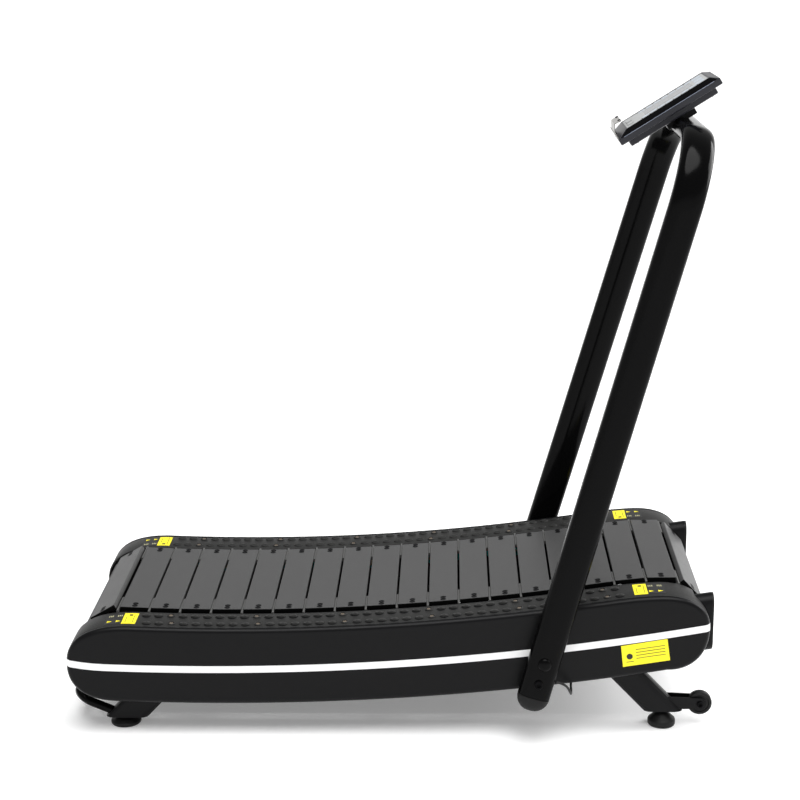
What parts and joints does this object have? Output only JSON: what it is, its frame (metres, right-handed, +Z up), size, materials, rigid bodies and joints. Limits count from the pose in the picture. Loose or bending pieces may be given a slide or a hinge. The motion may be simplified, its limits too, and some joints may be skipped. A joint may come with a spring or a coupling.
{
  "type": "curved manual treadmill",
  "caption": "Curved manual treadmill: slatted belt on a concave deck between side covers, with a U-shaped handlebar, a console, transport wheels and levelling feet.",
  "frame": {"origin": "on the floor under the middle of the machine", "axes": "+X towards the console end, +Y to the runner's left when facing the console, +Z up"},
  "size_m": [1.5912, 0.8144, 1.5685],
  "materials": {
    "frame_paint": "satin black powder coat",
    "gloss_tube": "gloss black paint",
    "cover_plastic": "fine-grained satin black",
    "rail_plastic": "ribbed anti-slip charcoal",
    "cap_plastic": "moulded black",
    "slat_rubber": "matte rubber-faced slats",
    "roller_urethane": "turquoise urethane tread",
    "steel": "zinc plated",
    "foot_rubber": "moulded rubber",
    "console_plastic": "satin blue-grey plastic",
    "console_face": "pale printed membrane",
    "tray_plastic": "pale translucent plastic",
    "cable": "matte black sheath"
  },
  "bodies": {
    "front_drive": {"front_shaft": "steel", "front_pulley_left": "cap_plastic", "front_pulley_right": "cap_plastic"},
    "rear_drive": {"rear_shaft": "steel", "rear_pulley_left": "cap_plastic", "rear_pulley_right": "cap_plastic"},
    "roller_left_1": {"guide_roller_left_1": "roller_urethane"},
    "roller_left_2": {"guide_roller_left_2": "roller_urethane"},
    "roller_left_3": {"guide_roller_left_3": "roller_urethane"},
    "roller_left_4": {"guide_roller_left_4": "roller_urethane"},
    "wheel_left": {"transport_wheel_left": "foot_rubber"},
    "foot_front_left": {"levelling_foot_front_left": "foot_rubber"},
    "foot_rear_left": {"levelling_foot_rear_left": "foot_rubber"},
    "roller_right_1": {"guide_roller_right_1": "roller_urethane"},
    "roller_right_2": {"guide_roller_right_2": "roller_urethane"},
    "roller_right_3": {"guide_roller_right_3": "roller_urethane"},
    "roller_right_4": {"guide_roller_right_4": "roller_urethane"},
    "wheel_right": {"transport_wheel_right": "foot_rubber"},
    "foot_front_right": {"levelling_foot_front_right": "foot_rubber"},
    "foot_rear_right": {"levelling_foot_rear_right": "foot_rubber"},
    "key_1": {"console_key_1": "console_face"},
    "key_2": {"console_key_2": "console_face"},
    "root": {"console_back": "console_plastic", "console_bracket": "frame_paint", "console_case": "console_plastic", "console_display": "console_face", "console_tray": "tray_plastic", "cross_member_front": "frame_paint", "cross_member_middle": "frame_paint", "cross_member_rear": "frame_paint", "foot_rail_left": "rail_plastic", "foot_rail_right": "rail_plastic", "frame_cap_front_left": "cap_plastic", "frame_cap_front_right": "cap_plastic", "front_bearing_left": "steel", "front_bearing_right": "steel", "handlebar": "gloss_tube", "handlebar_cap_left": "cap_plastic", "handlebar_cap_right": "cap_plastic", "leg_bolt_lower_left": "steel", "leg_bolt_lower_right": "steel", "leg_bolt_upper_left": "steel", "leg_bolt_upper_right": "steel", "leg_front_left": "frame_paint", "leg_front_right": "frame_paint", "leg_rear_left": "frame_paint", "leg_rear_right": "frame_paint", "lift_handle": "gloss_tube", "rear_bearing_left": "steel", "rear_bearing_right": "steel", "roller_rail_left": "frame_paint", "roller_rail_right": "frame_paint", "sensor_cable": "cable", "side_cover_left": "cover_plastic", "side_cover_right": "cover_plastic", "side_frame_left": "frame_paint", "side_frame_right": "frame_paint", "slat_belt": "slat_rubber", "wheel_bolt_left": "steel", "wheel_bolt_right": "steel"}
  },
  "joints": [
    {"name": "front_drive_spin", "type": "hinge", "parent": "root", "child": "front_drive", "pos_m": [0.672, 0, 0.26975], "axis": [0, 1, 0], "continuous": true},
    {"name": "rear_drive_spin", "type": "hinge", "parent": "root", "child": "rear_drive", "pos_m": [-0.674, 0, 0.19055], "axis": [0, 1, 0], "continuous": true},
    {"name": "roller_left_1_spin", "type": "hinge", "parent": "root", "child": "roller_left_1", "pos_m": [-0.52077, 0.189, 0.24627], "axis": [0, 1, 0], "continuous": true},
    {"name": "roller_left_2_spin", "type": "hinge", "parent": "root", "child": "roller_left_2", "pos_m": [-0.17863, 0.189, 0.24905], "axis": [0, 1, 0], "continuous": true},
    {"name": "roller_left_3_spin", "type": "hinge", "parent": "root", "child": "roller_left_3", "pos_m": [0.15346, 0.189, 0.27066], "axis": [0, 1, 0], "continuous": true},
    {"name": "roller_left_4_spin", "type": "hinge", "parent": "root", "child": "roller_left_4", "pos_m": [0.47535, 0.189, 0.30955], "axis": [0, 1, 0], "continuous": true},
    {"name": "wheel_left_spin", "type": "hinge", "parent": "root", "child": "wheel_left", "pos_m": [0.7615, 0.265, 0.0575], "axis": [0, 1, 0], "continuous": true},
    {"name": "foot_front_left_screw", "type": "hinge", "parent": "root", "child": "foot_front_left", "pos_m": [0.669, 0.265, 0.02], "axis": [0, 0, 1], "continuous": true},
    {"name": "foot_rear_left_screw", "type": "hinge", "parent": "root", "child": "foot_rear_left", "pos_m": [-0.666, 0.265, 0.02], "axis": [0, 0, 1], "continuous": true},
    {"name": "roller_right_1_spin", "type": "hinge", "parent": "root", "child": "roller_right_1", "pos_m": [-0.52077, -0.189, 0.24627], "axis": [0, 1, 0], "continuous": true},
    {"name": "roller_right_2_spin", "type": "hinge", "parent": "root", "child": "roller_right_2", "pos_m": [-0.17863, -0.189, 0.24905], "axis": [0, 1, 0], "continuous": true},
    {"name": "roller_right_3_spin", "type": "hinge", "parent": "root", "child": "roller_right_3", "pos_m": [0.15346, -0.189, 0.27066], "axis": [0, 1, 0], "continuous": true},
    {"name": "roller_right_4_spin", "type": "hinge", "parent": "root", "child": "roller_right_4", "pos_m": [0.47535, -0.189, 0.30955], "axis": [0, 1, 0], "continuous": true},
    {"name": "wheel_right_spin", "type": "hinge", "parent": "root", "child": "wheel_right", "pos_m": [0.7615, -0.265, 0.0575], "axis": [0, 1, 0], "continuous": true},
    {"name": "foot_front_right_screw", "type": "hinge", "parent": "root", "child": "foot_front_right", "pos_m": [0.669, -0.265, 0.02], "axis": [0, 0, 1], "continuous": true},
    {"name": "foot_rear_right_screw", "type": "hinge", "parent": "root", "child": "foot_rear_right", "pos_m": [-0.666, -0.265, 0.02], "axis": [0, 0, 1], "continuous": true},
    {"name": "key_1_press", "type": "slide", "parent": "root", "child": "key_1", "axis": [0.5284, 0, -0.849], "range_m": [0, 0.001], "stiffness_N_per_m": 400, "springref_m": -0.0002},
    {"name": "key_2_press", "type": "slide", "parent": "root", "child": "key_2", "axis": [0.5284, 0, -0.849], "range_m": [0, 0.001], "stiffness_N_per_m": 400, "springref_m": -0.0002}
  ],
  "couplings": [
    {"joint": "rear_drive_spin", "follows": "front_drive_spin", "ratio": 1},
    {"joint": "roller_left_1_spin", "follows": "front_drive_spin", "ratio": 3.9524},
    {"joint": "roller_left_2_spin", "follows": "front_drive_spin", "ratio": 3.9524},
    {"joint": "roller_left_3_spin", "follows": "front_drive_spin", "ratio": 3.9524},
    {"joint": "roller_left_4_spin", "follows": "front_drive_spin", "ratio": 3.9524},
    {"joint": "roller_right_1_spin", "follows": "front_drive_spin", "ratio": 3.9524},
    {"joint": "roller_right_2_spin", "follows": "front_drive_spin", "ratio": 3.9524},
    {"joint": "roller_right_3_spin", "follows": "front_drive_spin", "ratio": 3.9524},
    {"joint": "roller_right_4_spin", "follows": "front_drive_spin", "ratio": 3.9524}
  ]
}
